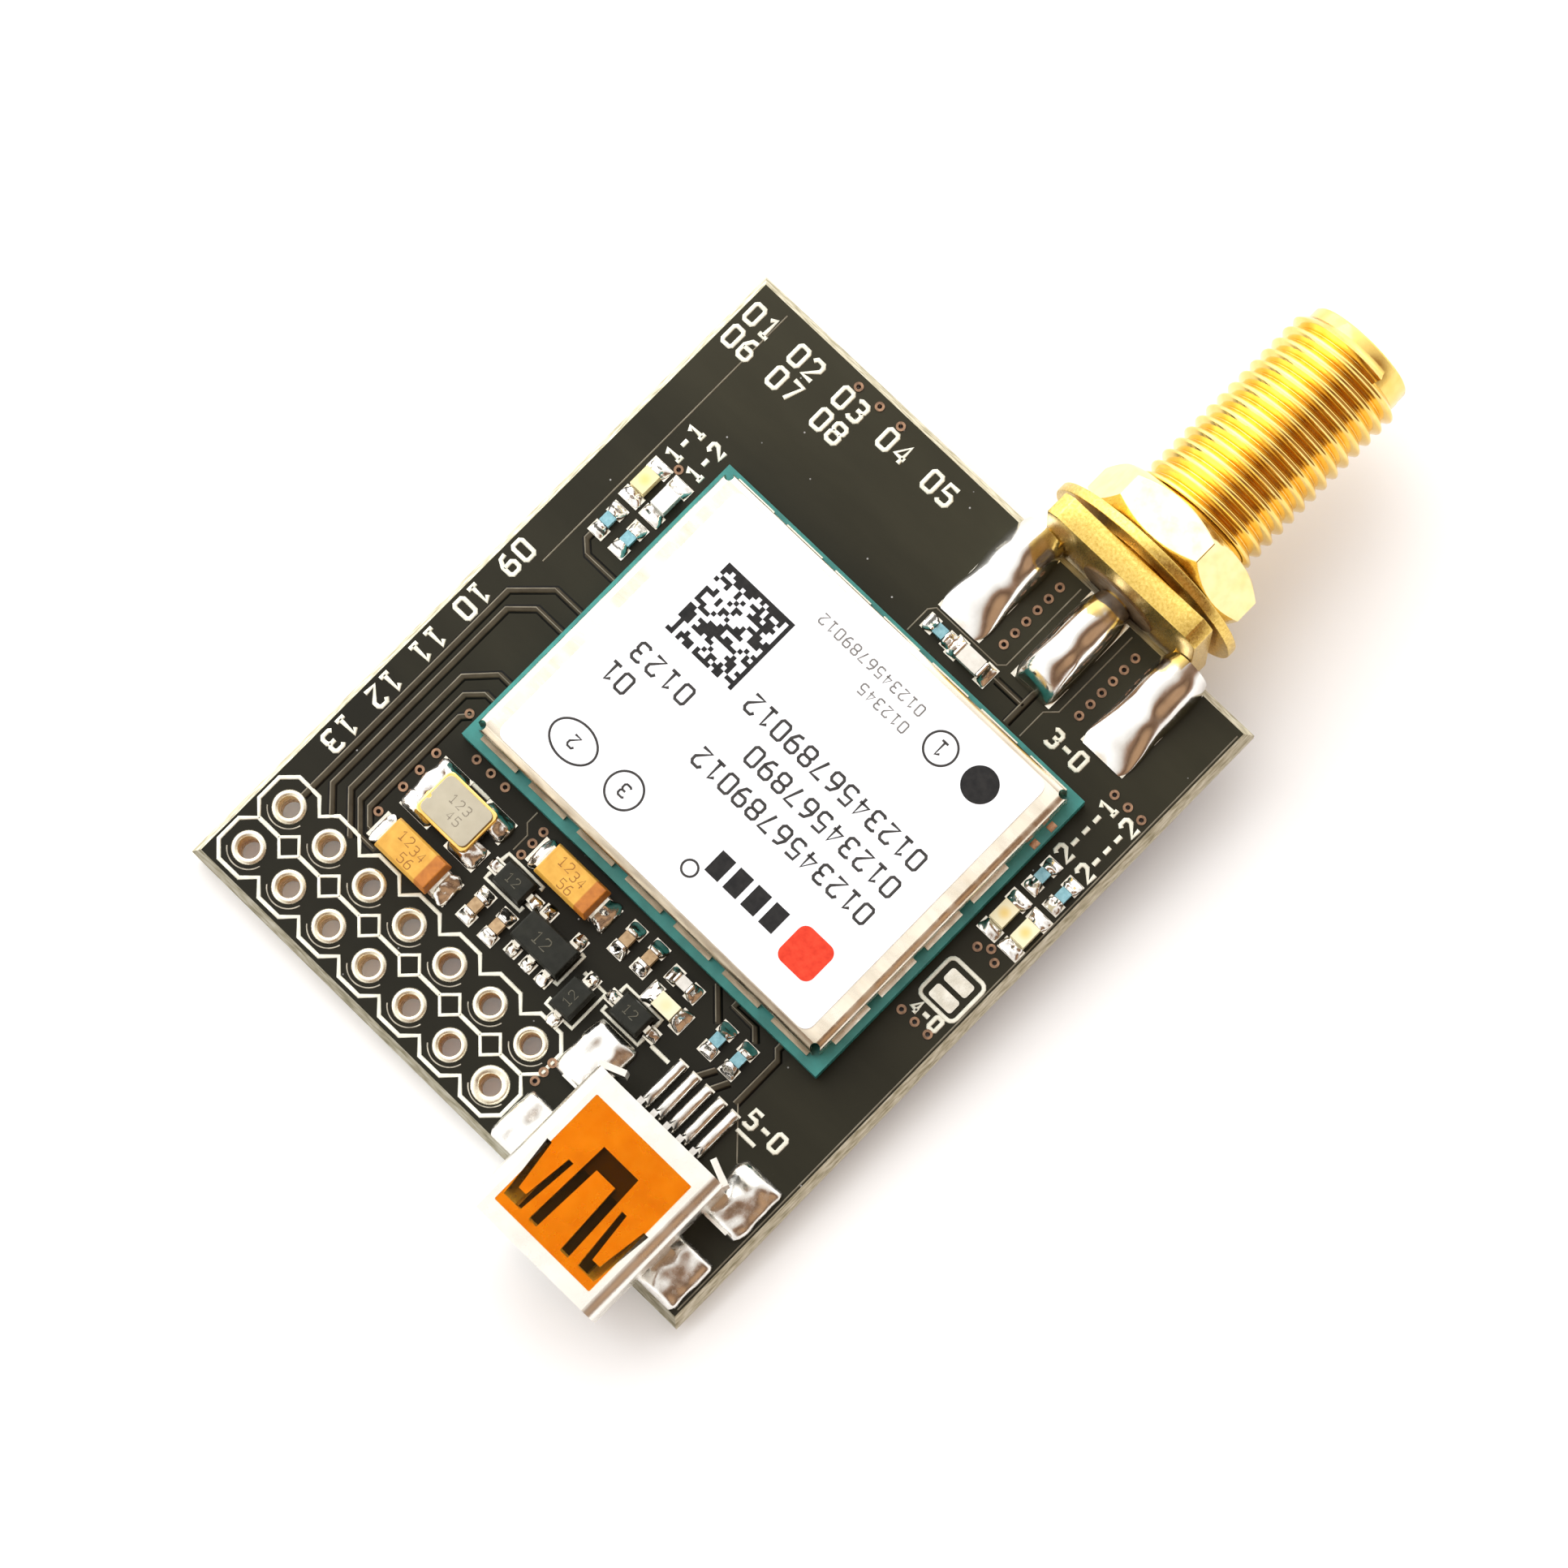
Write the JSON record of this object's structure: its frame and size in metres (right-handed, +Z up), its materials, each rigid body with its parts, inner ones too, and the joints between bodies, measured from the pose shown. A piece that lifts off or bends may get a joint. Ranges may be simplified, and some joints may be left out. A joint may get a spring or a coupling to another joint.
{
  "type": "satellite receiver module",
  "caption": "Satellite positioning receiver on a small dark circuit board, with a shielded module, a gold threaded antenna jack, a mini-B data socket and a row of header holes.",
  "frame": {"origin": "axis of the first header hole, the one nearest the board's corner, at the board's underside", "axes": "+X along the header rows, +Y from the header edge to the antenna jack, +Z up from the parts' side"},
  "size_m": [0.0304, 0.0548, 0.0106],
  "materials": {
    "solder_mask": "dark solder mask over glass-fibre board",
    "tinned_copper": "tinned copper",
    "bare_copper": "mask-covered copper rings",
    "module_laminate": "teal solder mask",
    "shield_sheet": "tinned sheet, slightly warm",
    "label": "printed white label",
    "chip_moulding": "moulded epoxy",
    "ceramic_grey": "glazed ceramic",
    "gold_plate": "gold plating",
    "ptfe": "white fluoropolymer",
    "solder": "bright solder",
    "tinned_shell": "bright tinned sheet",
    "socket_plastic": "moulded black plastic",
    "amber_film": "amber adhesive film",
    "oscillator_lid": "seam-welded lid",
    "tantalum_epoxy": "moulded orange epoxy",
    "capacitor_ceramic": "fired ceramic",
    "resistor_glaze": "blue glass glaze",
    "pale_ceramic": "pale ceramic",
    "light_moulding": "clear moulding over a pale base"
  },
  "bodies": {
    "root": {"circuit_board": "solder_mask", "header_lands": "tinned_copper", "vias": "bare_copper", "surface_lands": "tinned_copper", "module_carrier": "module_laminate", "module_shield": "shield_sheet", "module_label": "label", "receiver_chip": "chip_moulding", "memory_chip": "chip_moulding", "module_clock": "oscillator_lid", "band_filters": "ceramic_grey", "module_passives": "capacitor_ceramic", "jack_body": "gold_plate", "jack_insulator": "ptfe", "jack_contact": "gold_plate", "jack_washer": "gold_plate", "jack_nut": "gold_plate", "jack_solder": "solder", "socket_shell": "tinned_shell", "socket_housing": "socket_plastic", "socket_contacts": "gold_plate", "socket_film": "amber_film", "socket_solder": "solder", "oscillator_base": "gold_plate", "oscillator_lid": "oscillator_lid", "oscillator_solder": "solder", "tantalum_capacitor_1": "tantalum_epoxy", "tantalum_capacitor_2": "tantalum_epoxy", "tantalum_terminals": "tinned_copper", "regulator_body": "chip_moulding", "regulator_leads": "tinned_copper", "diode_1": "chip_moulding", "diode_2": "chip_moulding", "diode_3": "chip_moulding", "diode_leads": "tinned_copper", "ferrite_bead": "pale_ceramic", "antenna_coil": "pale_ceramic", "power_light": "light_moulding", "chip_terminals": "tinned_copper", "chip_solder": "solder", "chip_capacitor_1": "capacitor_ceramic", "chip_capacitor_2": "capacitor_ceramic", "chip_capacitor_3": "capacitor_ceramic", "chip_capacitor_4": "capacitor_ceramic", "chip_resistor_1": "resistor_glaze", "chip_resistor_2": "resistor_glaze", "chip_resistor_3": "resistor_glaze", "chip_resistor_4": "resistor_glaze", "chip_resistor_5": "resistor_glaze", "chip_resistor_6": "resistor_glaze", "chip_resistor_7": "resistor_glaze", "status_light_1": "light_moulding", "status_light_2": "light_moulding", "status_light_3": "light_moulding", "status_light_4": "light_moulding"}
  },
  "joints": []
}
